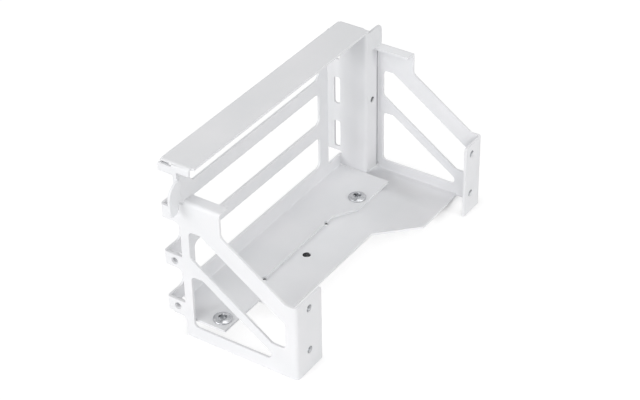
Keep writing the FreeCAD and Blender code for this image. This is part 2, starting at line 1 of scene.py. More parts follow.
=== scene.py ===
"""Looks of the vertical graphics-card mount: powder-coated sheets, plated clamp screws and a studio."""
import logging
import math
from dataclasses import dataclass, field
from enum import Enum
from typing import Any, Callable, Dict, List, Optional, Tuple, Union

import bmesh
import bpy
from mathutils import Matrix, Vector


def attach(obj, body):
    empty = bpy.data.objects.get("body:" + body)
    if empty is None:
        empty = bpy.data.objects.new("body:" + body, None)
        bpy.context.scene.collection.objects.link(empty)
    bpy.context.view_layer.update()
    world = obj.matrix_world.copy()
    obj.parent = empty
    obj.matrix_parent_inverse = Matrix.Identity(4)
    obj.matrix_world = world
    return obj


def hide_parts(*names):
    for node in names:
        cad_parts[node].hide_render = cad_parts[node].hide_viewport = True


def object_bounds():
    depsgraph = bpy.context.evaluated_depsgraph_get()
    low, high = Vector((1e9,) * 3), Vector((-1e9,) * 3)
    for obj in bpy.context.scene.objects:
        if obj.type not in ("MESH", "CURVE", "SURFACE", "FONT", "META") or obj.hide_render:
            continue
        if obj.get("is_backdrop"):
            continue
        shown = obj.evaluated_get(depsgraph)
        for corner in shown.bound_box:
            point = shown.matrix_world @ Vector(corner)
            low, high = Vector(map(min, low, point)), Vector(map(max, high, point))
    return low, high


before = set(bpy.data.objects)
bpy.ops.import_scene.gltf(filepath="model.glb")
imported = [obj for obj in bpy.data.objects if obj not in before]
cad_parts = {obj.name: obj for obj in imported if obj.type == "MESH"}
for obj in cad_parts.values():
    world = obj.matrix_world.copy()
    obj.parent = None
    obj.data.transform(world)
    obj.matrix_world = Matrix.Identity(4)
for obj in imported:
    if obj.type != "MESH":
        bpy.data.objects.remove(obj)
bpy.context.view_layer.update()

MM = 0.001
IMAGE_WIDTH = 640
WHITE = "#FFFFFF"

# Faces that meet at less than this angle are shaded as one.
SMOOTH_ANGLE = math.radians(32.0)

# A face counts as turned up or down when its normal's z is at least this.
FACING = 0.9

# Half the foot of a thread ridge, as a share of the pitch, so that turns come close and don't touch.
RIDGE_HALF_FOOT = 0.49

Point = Tuple[float, float, float]
Inputs = Dict[Union[str, int], Any]

log = logging.getLogger("mount")


class Slot(Enum):
    """Material slots of the record."""

    POWDER_COAT = "powder_coat"
    NICKEL_PLATE = "nickel_plate"


class Sheet(Enum):
    """The two folded sheets, by the names of the panels that each one is folded from."""

    SLOT_FRAME = ("slot_panel", "top_flange", "end_wall", "frame_floor", "left_side")
    BASE_BRACKET = ("base_plate", "right_side")


class Join(Enum):
    """How one shape acts on another."""

    UNITE = "UNION"
    CUT = "DIFFERENCE"


class Cut(Enum):
    """How the walls of a hole are coloured. The two darkest kinds are painted shade for the dark depth of a
    hole.
    """

    COATED = "coated"
    CLEAN = "clean"
    # Dark grey steel: painted shade for the depth of the post hole.
    DULL = "dull"
    # Near-black steel: painted shade for the dark depth of the riser and pilot holes.
    OILED = "oiled"


class WayIn(Enum):
    """Which way a tapped hole runs into the sheet."""

    BACK = (0, 1, 0)
    RIGHT = (1, 0, 0)
    DOWN = (0, 0, -1)


class Reach(Enum):
    """What a lamp lights. Flags keep its light off the other sheet."""

    FRAME = "slot_frame"
    BRACKET = "base_bracket"


class ScrewPlace(Enum):
    """The two clamp screws."""

    LEFT = "left"
    RIGHT = "right"


def linear(code: str) -> Tuple[float, float, float, float]:
    """Turn an sRGB hex colour into linear light.

    Args:
        code: Six hex digits after a hash sign.

    Returns:
        Linear red, green and blue, with an alpha of one.
    """
    parts = [int(code[i:i + 2], 16) / 255 for i in (1, 3, 5)]
    light = [c / 12.92 if c <= 0.04045 else ((c + 0.055) / 1.055) ** 2.4 for c in parts]
    return (light[0], light[1], light[2], 1.0)


def add_node(tree: bpy.types.NodeTree, kind: str, settings: Optional[Dict[str, Any]] = None,
             values: Optional[Inputs] = None, links: Optional[Inputs] = None) -> bpy.types.Node:
    """Add one node with its settings and links.

    Args:
        tree: Node tree that takes the node.
        kind: Type name of the node.
        settings: Properties of the node itself.
        values: Default values of its inputs, by name or number.
        links: Output sockets that feed its inputs, by name or number.

    Returns:
        The new node.
    """
    node = tree.nodes.new(kind)
    for name, value in (settings or {}).items():
        setattr(node, name, value)
    for name, value in (values or {}).items():
        node.inputs[name].default_value = value
    for name, socket in (links or {}).items():
        tree.links.new(socket, node.inputs[name])
    return node


def new_material(name: str) -> Tuple[bpy.types.Material, bpy.types.NodeTree]:
    """Make an empty node material.

    Args:
        name: Name of the material.

    Returns:
        The material and its cleared node tree.
    """
    material = bpy.data.materials.new(name)
    material.use_nodes = True
    material.node_tree.nodes.clear()
    return material, material.node_tree


def pick(piece: bpy.types.Object) -> None:
    """Make one object the only selected and active one.

    Args:
        piece: The object.
    """
    bpy.ops.object.select_all(action="DESELECT")
    piece.select_set(True)
    bpy.context.view_layer.objects.active = piece


def pick_faces(piece: bpy.types.Object, wanted: Callable[[Vector, Vector], bool]) -> None:
    """Select the faces of the piece in edit mode that pass a test.

    Args:
        piece: Object in edit mode.
        wanted: Test of a face's centre and normal.
    """
    mesh = bmesh.from_edit_mesh(piece.data)
    bpy.ops.mesh.select_all(action="DESELECT")
    bpy.ops.mesh.select_mode(type="FACE")
    for face in mesh.faces:
        face.select_set(wanted(face.calc_center_median(), face.normal))
    bmesh.update_edit_mesh(piece.data)


def pick_edges(piece: bpy.types.Object, wanted: Callable[[Vector, Vector], bool]) -> None:
    """Select the edges of the piece in edit mode that pass a test.

    Args:
        piece: Object in edit mode.
        wanted: Test of an edge's two end points.
    """
    mesh = bmesh.from_edit_mesh(piece.data)
    bpy.ops.mesh.select_all(action="DESELECT")
    bpy.ops.mesh.select_mode(type="EDGE")
    for edge in mesh.edges:
        edge.select_set(wanted(edge.verts[0].co, edge.verts[1].co))
    bmesh.update_edit_mesh(piece.data)


def settle(piece: bpy.types.Object) -> None:
    """Move the object's place into its mesh, so that it sits at the origin."""
    pick(piece)
    bpy.ops.object.transform_apply(location=True, rotation=True, scale=True)


def add_block(low_mm: Point, high_mm: Point) -> bpy.types.Object:
    """Add a block between two corners.

    Args:
        low_mm: Its lowest corner.
        high_mm: Its highest corner.

    Returns:
        The block, with its place in its mesh.
    """
    low, high = Vector(low_mm) * MM, Vector(high_mm) * MM
    bpy.ops.object.select_all(action="DESELECT")
    bpy.ops.mesh.primitive_cube_add(size=1, location=(low + high) / 2, scale=high - low)
    block = bpy.context.object
    settle(block)
    return block


def combine(piece: bpy.types.Object, tool: bpy.types.Object, join: Join, keep_finish: bool = False) -> None:
    """Unite a piece with a tool or cut the tool out of it, and delete the tool.

    Args:
        piece: Object that is changed.
        tool: Object that acts on it.
        join: Whether the tool adds or cuts.
        keep_finish: Whether the faces that the tool leaves get the tool's finish.
    """
    pick(piece)
    step = piece.modifiers.new("join", "BOOLEAN")
    step.operation = join.value
    step.solver = "EXACT"
    if keep_finish:
        step.material_mode = "TRANSFER"
    step.object = tool
    bpy.ops.object.modifier_apply(modifier=step.name)
    bpy.data.objects.remove(tool)


def wind_ridge(root: float, crest: float, pitch: float, turns: float, steps: int) -> bpy.types.Object:
    """Wind a thread ridge of triangular section down from the origin, about Z.

    Args:
        root: Radius of the ridge's foot.
        crest: Radius of its crest, less than root for the thread in a hole.
        pitch: Rise of one turn.
        turns: How many turns to wind.
        steps: Steps in each turn.

    Returns:
        The ridge, closed at both ends.
    """
    bpy.ops.object.select_all(action="DESELECT")
    bpy.ops.mesh.primitive_circle_add(vertices=3, radius=pitch)
    ridge = bpy.context.object
    half_foot = pitch * RIDGE_HALF_FOOT
    section = ((root, 0.0, -half_foot), (crest, 0.0, 0.0), (root, 0.0, half_foot))
    for vertex, corner in zip(ridge.data.vertices, section):
        vertex.co = corner
    winding = ridge.modifiers.new("thread", "SCREW")
    winding.axis = "Z"
    winding.angle = 2 * math.pi * turns
    winding.screw_offset = -pitch * turns
    winding.steps = winding.render_steps = round(steps * turns)
    bpy.ops.object.modifier_apply(modifier=winding.name)
    bpy.ops.object.mode_set(mode="EDIT")
    bpy.ops.mesh.select_all(action="DESELECT")
    bpy.ops.mesh.select_mode(type="EDGE")
    bpy.ops.mesh.select_non_manifold()
    bpy.ops.mesh.fill_holes(sides=0)
    bpy.ops.mesh.select_all(action="SELECT")
    bpy.ops.mesh.normals_make_consistent(inside=False)
    bpy.ops.object.mode_set(mode="OBJECT")
    return ridge


@dataclass(frozen=True)
class PowderCoat:
    """White polyester powder coat, baked on steel.

    The powder melts and flows before it sets, so the eye gets an even, slightly cool white with a soft
    sheen, a faint orange-peel ripple and a coat that is a little thinner in some places than in others.
    """

    name: str = "white_powder_coat"
    thin: str = "#E5E6E8"
    thick: str = "#EBEBED"
    tone_stops: Tuple[float, float] = (0.35, 0.65)
    sheen_low: float = 0.50
    sheen_high: float = 0.60
    ior: float = 1.5
    drift_mm: float = 28.0
    drift_detail: float = 3.0
    peel_mm: float = 0.9
    peel_detail: float = 1.0
    peel_height_mm: float = 0.012
    peel_strength: float = 0.5

    def material(self) -> bpy.types.Material:
        """Build the coat. Real peel is near 0.4 mm; it is drawn twice as coarse so that it shows.

        Returns:
            The material.
        """
        material, tree = new_material(self.name)
        place = add_node(tree, "ShaderNodeTexCoord")
        drift = add_node(tree, "ShaderNodeTexNoise", links={"Vector": place.outputs["Object"]},
                         values={"Scale": 1 / (self.drift_mm * MM), "Detail": self.drift_detail})
        tone = add_node(tree, "ShaderNodeValToRGB", links={"Fac": drift.outputs["Fac"]})
        for stop, code, at in zip(tone.color_ramp.elements, (self.thin, self.thick), self.tone_stops):
            stop.color = linear(code)
            stop.position = at
        peel = add_node(tree, "ShaderNodeTexNoise", links={"Vector": place.outputs["Object"]},
                        values={"Scale": 1 / (self.peel_mm * MM), "Detail": self.peel_detail})
        sheen = add_node(tree, "ShaderNodeMapRange", links={"Value": drift.outputs["Fac"]},
                         values={"To Min": self.sheen_low, "To Max": self.sheen_high})
        ripple = add_node(tree, "ShaderNodeBump", links={"Height": peel.outputs["Fac"]},
                          values={"Strength": self.peel_strength, "Distance": self.peel_height_mm * MM})
        coat = add_node(tree, "ShaderNodeBsdfPrincipled", values={"IOR": self.ior, "Metallic": 0.0},
                        links={"Base Color": tone.outputs["Color"], "Roughness": sheen.outputs["Result"],
                               "Normal": ripple.outputs["Normal"]})
        add_node(tree, "ShaderNodeOutputMaterial", links={"Surface": coat.outputs["BSDF"]})
        return material


@dataclass(frozen=True)
class BareMetal:
    """Metal with no coat. The eye gets a fine mottle of two greys, duller where it is darker."""

    name: str
    dark: str
    light: str
    grain_mm: float
    grain_detail: float
    polish_low: float
    polish_high: float
    tone_stops: Tuple[float, float] = (0.3, 0.7)

    def material(self) -> bpy.types.Material:
        """Build the metal.

        Returns:
            The material.
        """
        material, tree = new_material(self.name)
        place = add_node(tree, "ShaderNodeTexCoord")
        grain = add_node(tree, "ShaderNodeTexNoise", links={"Vector": place.outputs["Object"]},
                         values={"Scale": 1 / (self.grain_mm * MM), "Detail": self.grain_detail})
        tone = add_node(tree, "ShaderNodeValToRGB", links={"Fac": grain.outputs["Fac"]})
        for stop, code, at in zip(tone.color_ramp.elements, (self.dark, self.light), self.tone_stops):
            stop.color = linear(code)
            stop.position = at
        polish = add_node(tree, "ShaderNodeMapRange", links={"Value": grain.outputs["Fac"]},
                          values={"To Min": self.polish_high, "To Max": self.polish_low})
        metal = add_node(tree, "ShaderNodeBsdfPrincipled", values={"Metallic": 1.0},
                         links={"Base Color": tone.outputs["Color"], "Roughness": polish.outputs["Result"]})
        add_node(tree, "ShaderNodeOutputMaterial", links={"Surface": metal.outputs["BSDF"]})
        return material


@dataclass(frozen=True)
class NickelPlate(BareMetal):
    """Bright nickel plate on a cold-headed steel screw.

    Plating keeps the polish of the forming die, so the eye gets a neutral grey metal with sharp lights and
    small dull scuffs from the driver.
    """

    name: str = "bright_nickel_plate"
    dark: str = "#A9ABAE"
    light: str = "#D2D3D5"
    grain_mm: float = 0.8
    grain_detail: float = 4.0
    polish_low: float = 0.16
    polish_high: float = 0.32


@dataclass(frozen=True)
class CutSteel(BareMetal):
    """Bare steel where a tool has cut through the coat.

    The cut is fresh metal with traces of cutting oil, so the eye gets a grey with fine darker streaks.
    """

    name: str = "cut_steel"
    dark: str = "#8E9093"
    light: str = "#ACAEB1"
    grain_mm: float = 0.3
    grain_detail: float = 2.0
    polish_low: float = 0.30
    polish_high: float = 0.48


@dataclass(frozen=True)
class StudioPaper:
    """White background paper. It is matt, shows white to the camera and stays dark close under the mount."""

    name: str = "studio_paper"
    colour: str = "#FAFAFA"
    grain: str = "#FCFCFC"
    grain_mm: float = 6.0
    glow_share: float = 0.72
    glow_strength: float = 1.15
    shade_mm: float = 5.0

    def material(self) -> bpy.types.Material:
        """Build the paper, part of which shows as plain white to camera, glossy and transmission rays.

        Returns:
            The material.
        """
        material, tree = new_material(self.name)
        place = add_node(tree, "ShaderNodeTexCoord")
        grain = add_node(tree, "ShaderNodeTexNoise", values={"Scale": 1 / (self.grain_mm * MM)},
                         links={"Vector": place.outputs["Object"]})
        tone = add_node(tree, "ShaderNodeValToRGB", links={"Fac": grain.outputs["Fac"]})
        for stop, code in zip(tone.color_ramp.elements, (self.colour, self.grain)):
            stop.color = linear(code)
        paper = add_node(tree, "ShaderNodeBsdfDiffuse", links={"Color": tone.outputs["Color"]})
        glow = add_node(tree, "ShaderNodeEmission",
                        values={"Color": linear(WHITE), "Strength": self.glow_strength})
        open_sky = add_node(tree, "ShaderNodeAmbientOcclusion", values={"Distance": self.shade_mm * MM})
        seen = add_node(tree, "ShaderNodeMath", {"operation": "MULTIPLY"},
                        links={0: seen_directly(tree), 1: open_sky.outputs["AO"]})
        share = add_node(tree, "ShaderNodeMath", {"operation": "MULTIPLY"}, values={1: self.glow_share},
                         links={0: seen.outputs[0]})
        mixed = add_node(tree, "ShaderNodeMixShader", links={0: share.outputs[0], 1: paper.outputs["BSDF"],
                                                             2: glow.outputs["Emission"]})
        add_node(tree, "ShaderNodeOutputMaterial", links={"Surface": mixed.outputs["Shader"]})
        return material


def seen_directly(tree: bpy.types.NodeTree) -> bpy.types.NodeSocket:
    """Add the test for rays that show a background: camera, glossy or transmission rays.

    Args:
        tree: Node tree that takes the nodes.

    Returns:
        A socket that is one for such rays.
    """
    path = add_node(tree, "ShaderNodeLightPath")
    either = add_node(tree, "ShaderNodeMath", {"operation": "MAXIMUM"},
                      links={0: path.outputs["Is Camera Ray"], 1: path.outputs["Is Glossy Ray"]})
    any_of = add_node(tree, "ShaderNodeMath", {"operation": "MAXIMUM"},
                      links={0: either.outputs[0], 1: path.outputs["Is Transmission Ray"]})
    return any_of.outputs[0]


@dataclass
class BendGroove:
    """Relief groove down the inside of a bend, with a drilled lower end; its walls take a darker copy of the
    coat as painted shade, so the corner shows as a dark line.
    """

    groove_shade_coat: bpy.types.Material
    low_mm: Point = (63.0, 47.0, -15.25)
    high_mm: Point = (63.8, 47.95, 39.55)
    end_radius_mm: float = 0.7
    end_vertices: int = 24

    def cut(self, piece: bpy.types.Object) -> None:
        """Cut the groove and its lower end into a sheet, and give their walls the darker coat that paints
        shade into them.

        Args:
            piece: The sheet.
        """
        low, high = Vector(self.low_mm) * MM, Vector(self.high_mm) * MM
        middle = (low + high) / 2
        blade = add_block(self.low_mm, self.high_mm)
        bpy.ops.object.select_all(action="DESELECT")
        bpy.ops.mesh.primitive_cylinder_add(vertices=self.end_vertices, radius=self.end_radius_mm * MM,
                                            depth=high.y - low.y, location=(middle.x, middle.y, low.z),
                                            rotation=(math.pi / 2, 0, 0))
        drill = bpy.context.object
        settle(drill)
        for tool in (blade, drill):
            tool.data.materials.append(self.groove_shade_coat)
            combine(piece, tool, Join.CUT, keep_finish=True)


@dataclass
class CornerFill:
    """Bead of coat that closes the narrow corner between the foot of the slot panel and the end wall."""

    coat: bpy.types.Material
    low_mm: Point = (49.21, 55.30, -10.62)
    high_mm: Point = (50.19, 56.85, -5.97)
    edge_round_mm: float = 0.08
    edge_steps: int = 3

    def build(self) -> bpy.types.Object:
        """Lay the bead and round its edges.

        Returns:
            The bead.
        """
        bead = add_block(self.low_mm, self.high_mm)
        bead.name = "corner_bead"
        bpy.ops.object.mode_set(mode="EDIT")
        bpy.ops.mesh.select_all(action="SELECT")
        bpy.ops.mesh.bevel(offset=self.edge_round_mm * MM, segments=self.edge_steps, affect="EDGES")
        bpy.ops.object.mode_set(mode="OBJECT")
        bpy.ops.object.shade_smooth_by_angle(angle=SMOOTH_ANGLE)
        bead.data.materials.append(self.coat)
        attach(bead, "root")
        return bead


@dataclass
class FoldedSheet:
    """A folded sheet, one piece over all its panels, with the small round that the coat leaves on edges."""

    sheet: Sheet
    coat: bpy.types.Material
    groove: Optional[BendGroove] = None
    edge_round_mm: float = 0.05
    edge_steps: int = 2
    flat_angle_deg: float = 0.5
    sharp_angle_deg: float = 38.0
    merge_mm: float = 0.002
    grid_mm: float = 0.0005

    def build(self) -> bpy.types.Object:
        """Unite copies of the panels, merge them into flat faces, round the edges and coat the sheet.

        Returns:
            The coated sheet, which stands for its panels.
        """
        piece, *others = [self.copied(name) for name in self.sheet.value]
        piece.name = "coated_" + self.sheet.name.lower()
        for other in others:
            combine(piece, other, Join.UNITE)
        pick(piece)
        bpy.ops.object.mode_set(mode="EDIT")
        bpy.ops.mesh.select_all(action="SELECT")
        bpy.ops.mesh.remove_doubles(threshold=self.merge_mm * MM)
        bpy.ops.mesh.dissolve_limited(angle_limit=math.radians(self.flat_angle_deg))
        bpy.ops.object.mode_set(mode="OBJECT")
        if self.groove:
            self.groove.cut(piece)
        self.round_edges(piece)
        self.dress(piece)
        return piece

    def copied(self, name: str) -> bpy.types.Object:
        """Copy one panel and set its points on a fine grid, so that panels meet exactly at the bends.

        Args:
            name: Name of the panel's solid.

        Returns:
            The copy, as an object of its own.
        """
        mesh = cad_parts[name].data.copy()
        mesh.materials.clear()
        mesh.materials.append(self.coat)
        panel = bpy.data.objects.new("panel_" + name, mesh)
        bpy.context.scene.collection.objects.link(panel)
        step = self.grid_mm * MM
        for vertex in mesh.vertices:
            vertex.co = Vector([round(value / step) * step for value in vertex.co])
        pick(panel)
        bpy.ops.object.mode_set(mode="EDIT")
        bpy.ops.mesh.select_all(action="SELECT")
        bpy.ops.mesh.remove_doubles(threshold=self.merge_mm * MM)
        bpy.ops.object.mode_set(mode="OBJECT")
        return panel

    def round_edges(self, piece: bpy.types.Object) -> None:
        """Round the cut edges and keep the flats flat in the light.

        The round isn't clamped, because one short edge would then take it off the whole sheet.

        Args:
            piece: The sheet.
        """
        bevel = piece.modifiers.new("edge_round", "BEVEL")
        bevel.width = self.edge_round_mm * MM
        bevel.segments = self.edge_steps
        bevel.limit_method = "ANGLE"
        bevel.angle_limit = math.radians(self.sharp_angle_deg)
        bevel.use_clamp_overlap = False
        bpy.ops.object.modifier_apply(modifier=bevel.name)
        bpy.ops.object.shade_smooth()
        weighted = piece.modifiers.new("flat_light", "WEIGHTED_NORMAL")
        weighted.keep_sharp = True
        bpy.ops.object.modifier_apply(modifier=weighted.name)

    def dress(self, piece: bpy.types.Object) -> None:
        """Let the coated sheet stand for its panels.

        Args:
            piece: The sheet.
        """
        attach(piece, "root")
        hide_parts(*self.sheet.value)


@dataclass
class ClampScrews:
    """The two pan-head clamp screws through the floor into the base plate."""

    plate: bpy.types.Material
    seat_mm: Point = (-58.4, 37.2, -10.65)
    spacing_mm: float = 90.8
    head_diameter_mm: float = 7.2
    head_height_mm: float = 1.4
    rim_mm: float = 0.5
    rim_round_mm: float = 0.16
    rim_steps: int = 3
    rim_tolerance: float = 0.02
    dome_steps: int = 9
    crown_radius_mm: float = 0.4
    core_diameter_mm: float = 2.8
    thread_diameter_mm: float = 3.44
    length_mm: float = 2.8
    tip_mm: float = 0.5
    pitch_mm: float = 0.7
    thread_turns: float = 2.0
    thread_steps: int = 32
    thread_bite_mm: float = 0.05
    recess_length_mm: float = 4.2
    recess_width_mm: float = 1.3
    recess_depth_mm: float = 1.4
    recess_foot: float = 0.5
    round_vertices: int = 64
    turn_deg: Dict[ScrewPlace, float] = field(
        default_factory=lambda: {ScrewPlace.LEFT: 28.0, ScrewPlace.RIGHT: 12.0})

    @property
    def seat(self) -> Vector:
        """Centre of the left screw's seat on the floor."""
        return Vector(self.seat_mm) * MM

    def build(self) -> List[bpy.types.Object]:
        """Model one screw, copy it and dress both.

        Returns:
            The left and the right screw.
        """
        left = self.headed_blank()
        self.cut_recess(left)
        self.add_thread(left)
        left.name = "clamp_screw_" + ScrewPlace.LEFT.value
        right = left.copy()
        right.data = left.data.copy()
        right.name = "clamp_screw_" + ScrewPlace.RIGHT.value
        bpy.context.scene.collection.objects.link(right)
        self.place(left, ScrewPlace.LEFT, 0.0)
        self.place(right, ScrewPlace.RIGHT, self.spacing_mm)
        return [left, right]

    def headed_blank(self) -> bpy.types.Object:
        """Shape the head and the core from a disc.

        Returns:
            The blank, with a plain core and no recess.
        """
        radius = self.head_diameter_mm * MM / 2
        rim = self.rim_mm * MM
        bpy.ops.object.select_all(action="DESELECT")
        bpy.ops.mesh.primitive_cylinder_add(vertices=self.round_vertices, radius=radius, depth=rim,
                                            end_fill_type="NGON",
                                            location=self.seat + Vector((0, 0, rim / 2)))
        blank = bpy.context.object
        settle(blank)
        top_z, bottom_z = self.seat.z + rim, self.seat.z
        bpy.ops.object.mode_set(mode="EDIT")
        pick_faces(blank, lambda centre, normal: normal.z > FACING)
        for step_in, step_up in self.dome_profile():
            bpy.ops.mesh.inset(thickness=step_in, depth=step_up)
        pick_faces(blank, lambda centre, normal: normal.z < -FACING)
        bpy.ops.mesh.inset(thickness=radius - self.core_diameter_mm * MM / 2, depth=0)
        straight = (self.length_mm - self.tip_mm) * MM
        bpy.ops.mesh.extrude_region_move(TRANSFORM_OT_translate={"value": (0, 0, -straight)})
        bpy.ops.mesh.inset(thickness=self.tip_mm * MM, depth=self.tip_mm * MM)
        near = radius * self.rim_tolerance

        def on_rim(point: Vector, z: float) -> bool:
            """Whether a point lies on the rim's circle at z."""
            out = (point - self.seat).to_2d().length
            return abs(point.z - z) < near and abs(out - radius) < near

        pick_edges(blank, lambda a, b: any(on_rim(a, z) and on_rim(b, z) for z in (top_z, bottom_z)))
        bpy.ops.mesh.bevel(offset=self.rim_round_mm * MM, segments=self.rim_steps, affect="EDGES")
        bpy.ops.object.mode_set(mode="OBJECT")
        return blank

    def dome_profile(self) -> List[Tuple[float, float]]:
        """Work out the crown's rings.

        Returns:
            For each ring, how far it steps in and how far it rises, in metres.
        """
        radius = self.head_diameter_mm / 2
        rise = self.head_height_mm - self.rim_mm
        ball = (radius ** 2 + rise ** 2) / (2 * rise)
        widest = math.asin(radius / ball)
        narrowest = math.asin(self.crown_radius_mm / ball)
        angles = [widest + (narrowest - widest) * i / self.dome_steps for i in range(self.dome_steps + 1)]
        return [(ball * (math.sin(a) - math.sin(b)) * MM, ball * (math.cos(b) - math.cos(a)) * MM)
                for a, b in zip(angles, angles[1:])]

    def cut_recess(self, blank: bpy.types.Object) -> None:
        """Cut the tapered cross recess into the head."""
        for turn in (0.0, math.pi / 2):
            combine(blank, self.recess_wing(turn), Join.CUT)

    def recess_wing(self, turn: float) -> bpy.types.Object:
        """Make one tapered blade of the cross.

        Args:
            turn: Angle of the blade about the screw's axis.

        Returns:
            The blade, at its place in the head.
        """
        top = self.seat + Vector((0, 0, self.head_height_mm * MM))
        size = Vector((self.recess_length_mm, self.recess_width_mm, 2 * self.recess_depth_mm)) * MM
        bpy.ops.object.select_all(action="DESELECT")
        bpy.ops.mesh.primitive_cube_add(size=1, location=top, rotation=(0, 0, turn), scale=size)
        wing = bpy.context.object
        settle(wing)
        bpy.ops.object.mode_set(mode="EDIT")
        pick_faces(wing, lambda centre, normal: normal.z < -FACING)
        along = (self.recess_foot, 1.0) if turn == 0.0 else (1.0, self.recess_foot)
        bpy.ops.transform.resize(value=(along[0], along[1], 1.0), center_override=top)
        bpy.ops.object.mode_set(mode="OBJECT")
        return wing

    def add_thread(self, screw: bpy.types.Object) -> None:
        """Wind a thread ridge round the core and unite it with the screw.

        Args:
            screw: Screw at the left seat.
        """
        pitch = self.pitch_mm * MM
        root = (self.core_diameter_mm / 2 - self.thread_bite_mm) * MM
        crest = self.thread_diameter_mm * MM / 2
        ridge = wind_ridge(root, crest, pitch, self.thread_turns, self.thread_steps)
        ridge.location = self.seat - Vector((0, 0, pitch))
        settle(ridge)
        combine(screw, ridge, Join.UNITE)

    def place(self, screw: bpy.types.Object, place: ScrewPlace, along_mm: float) -> None:
        """Turn one screw as it was driven, move it to its hole and plate it.

        Args:
            screw: Screw at the left seat.
            place: Which screw it is.
            along_mm: How far it moves along the floor.
        """
        turn = Matrix.Rotation(math.radians(self.turn_deg[place]), 4, "Z")
        centred = Matrix.Translation(self.seat) @ turn @ Matrix.Translation(-self.seat)
        screw.data.transform(Matrix.Translation((along_mm * MM, 0, 0)) @ centred)
        pick(screw)
        bpy.ops.object.shade_smooth_by_angle(angle=SMOOTH_ANGLE)
        screw.data.materials.clear()
        screw.data.materials.append(self.plate)
        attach(screw, "root")
        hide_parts("clamp_screws")


@dataclass(frozen=True)
class TappedHole:
    """One tapped hole: the centre of its mouth, the way in, its diameter and how it was cut."""

    name: str
    mouth_mm: Point
    way_in: WayIn
    diameter_mm: float
    length_mm: float = 2.4
    cut: Cut = Cut.CLEAN


@dataclass
class TappedThreads:
    """The threads in the holes for the case, the card, the post and the riser, and in the pilot holes."""

    walls: Dict[Cut, bpy.types.Material]
    case_x_mm: float = 57.25
    case_z_mm: float = 9.25
    case_diameter_mm: float = 2.9
    card_mouth_mm: Point = (-65.1, 52.0, -6.35)
    card_diameter_mm: float = 2.9
    slot_pitch_mm: float = 20.32
    slot_count: int = 3
    post_mouth_mm: Point = (53.45, 43.4, 21.85)
    post_diameter_mm: float = 2.5
    riser_mouth_mm: Point = (-8.7, 33.9, -11.65)
    riser_diameter_mm: float = 3.2
    pilot_x_mm: Tuple[float, float] = (-30.1, 11.8)
    pilot_y_mm: float = 38.5
    pilot_diameter_mm: float = 1.8
    pilot_length_mm: float = 1.0
    pitch_mm: float = 0.5
    ridge_mm: float = 0.22
    bite_mm: float = 0.03
    inset_mm: float = 0.08
    steps: int = 32

    def build(self) -> List[bpy.types.Object]:
        """Wind a thread into each hole.

        Returns:
            One thread for each hole.
        """
        return [self.wound(hole) for hole in self.holes()]

    def holes(self) -> List[TappedHole]:
        """List the tapped holes.

        Returns:
            The holes for the case, the card, the post and the riser, and the pilot holes.
        """
        x, z = self.case_x_mm, self.case_z_mm
        corners = [(side, 0.0, height) for side in (-x, x) for height in (-z, z)]
        case = [TappedHole(f"case_thread_{i}", mouth, WayIn.BACK, self.case_diameter_mm)
                for i, mouth in enumerate(corners, 1)]
        card_x, card_y, card_z = self.card_mouth_mm
        card = [TappedHole(f"card_thread_{i + 1}", (card_x, card_y, card_z + i * self.slot_pitch_mm),
                           WayIn.RIGHT, self.card_diameter_mm, cut=Cut.COATED)
                for i in range(self.slot_count)]
        post = TappedHole("post_thread", self.post_mouth_mm, WayIn.BACK, self.post_diameter_mm, cut=Cut.DULL)
        # The post hole gets dark grey steel, and the riser and pilot holes near-black steel, as painted
        # shade.
        riser = TappedHole("riser_thread", self.riser_mouth_mm, WayIn.DOWN, self.riser_diameter_mm,
                           cut=Cut.OILED)
        base_z = self.riser_mouth_mm[2]
        pilot = [TappedHole(f"pilot_thread_{i}", (side, self.pilot_y_mm, base_z), WayIn.DOWN,
                            self.pilot_diameter_mm, self.pilot_length_mm, Cut.OILED)
                 for i, side in enumerate(self.pilot_x_mm, 1)]
        return [*case, *card, post, riser, *pilot]

    def wound(self, hole: TappedHole) -> bpy.types.Object:
        """Wind one thread and set it in its hole.

        Args:
            hole: The hole that takes it.

        Returns:
            The thread in its place.
        """
        turns = (hole.length_mm - 2 * self.inset_mm) / self.pitch_mm - 1
        radius = hole.diameter_mm / 2
        thread = wind_ridge((radius + self.bite_mm) * MM, (radius - self.ridge_mm) * MM, self.pitch_mm * MM,
                            turns, self.steps)
        thread.name = hole.name
        way_in = Vector(hole.way_in.value)
        thread.rotation_euler = way_in.to_track_quat("-Z", "Y").to_euler()
        thread.location = (Vector(hole.mouth_mm) + way_in * (self.inset_mm + self.pitch_mm / 2)) * MM
        settle(thread)
        bpy.ops.object.shade_smooth_by_angle(angle=SMOOTH_ANGLE)
        thread.data.materials.append(self.walls[hole.cut])
        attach(thread, "root")
        return thread


@dataclass(frozen=True)
class SoftLamp:
    """A large soft lamp that faces the middle of the mount. Its distance and size are in metres."""

    name: str
    towards: Point
    watts: float
    reach: Reach
    distance: float = 2.2
    size: float = 1.3

    def build(self, aim: Vector, lit: bpy.types.Collection) -> bpy.types.Object:
        """Hang the lamp.

        Args:
            aim: Point that it faces.
            lit: Pieces that it lights.

        Returns:
            The lamp's object.
        """
        data = bpy.data.lights.new(self.name, "AREA")
        data.shape = "SQUARE"
        data.size = self.size
        data.energy = self.watts
        lamp = bpy.data.objects.new(self.name, data)
        bpy.context.scene.collection.objects.link(lamp)
        out = Vector(self.towards).normalized()
        lamp.location = aim + out * self.distance
        lamp.rotation_euler = out.to_track_quat("Z", "Y").to_euler()
        lamp.light_linking.receiver_collection = lit
        return lamp


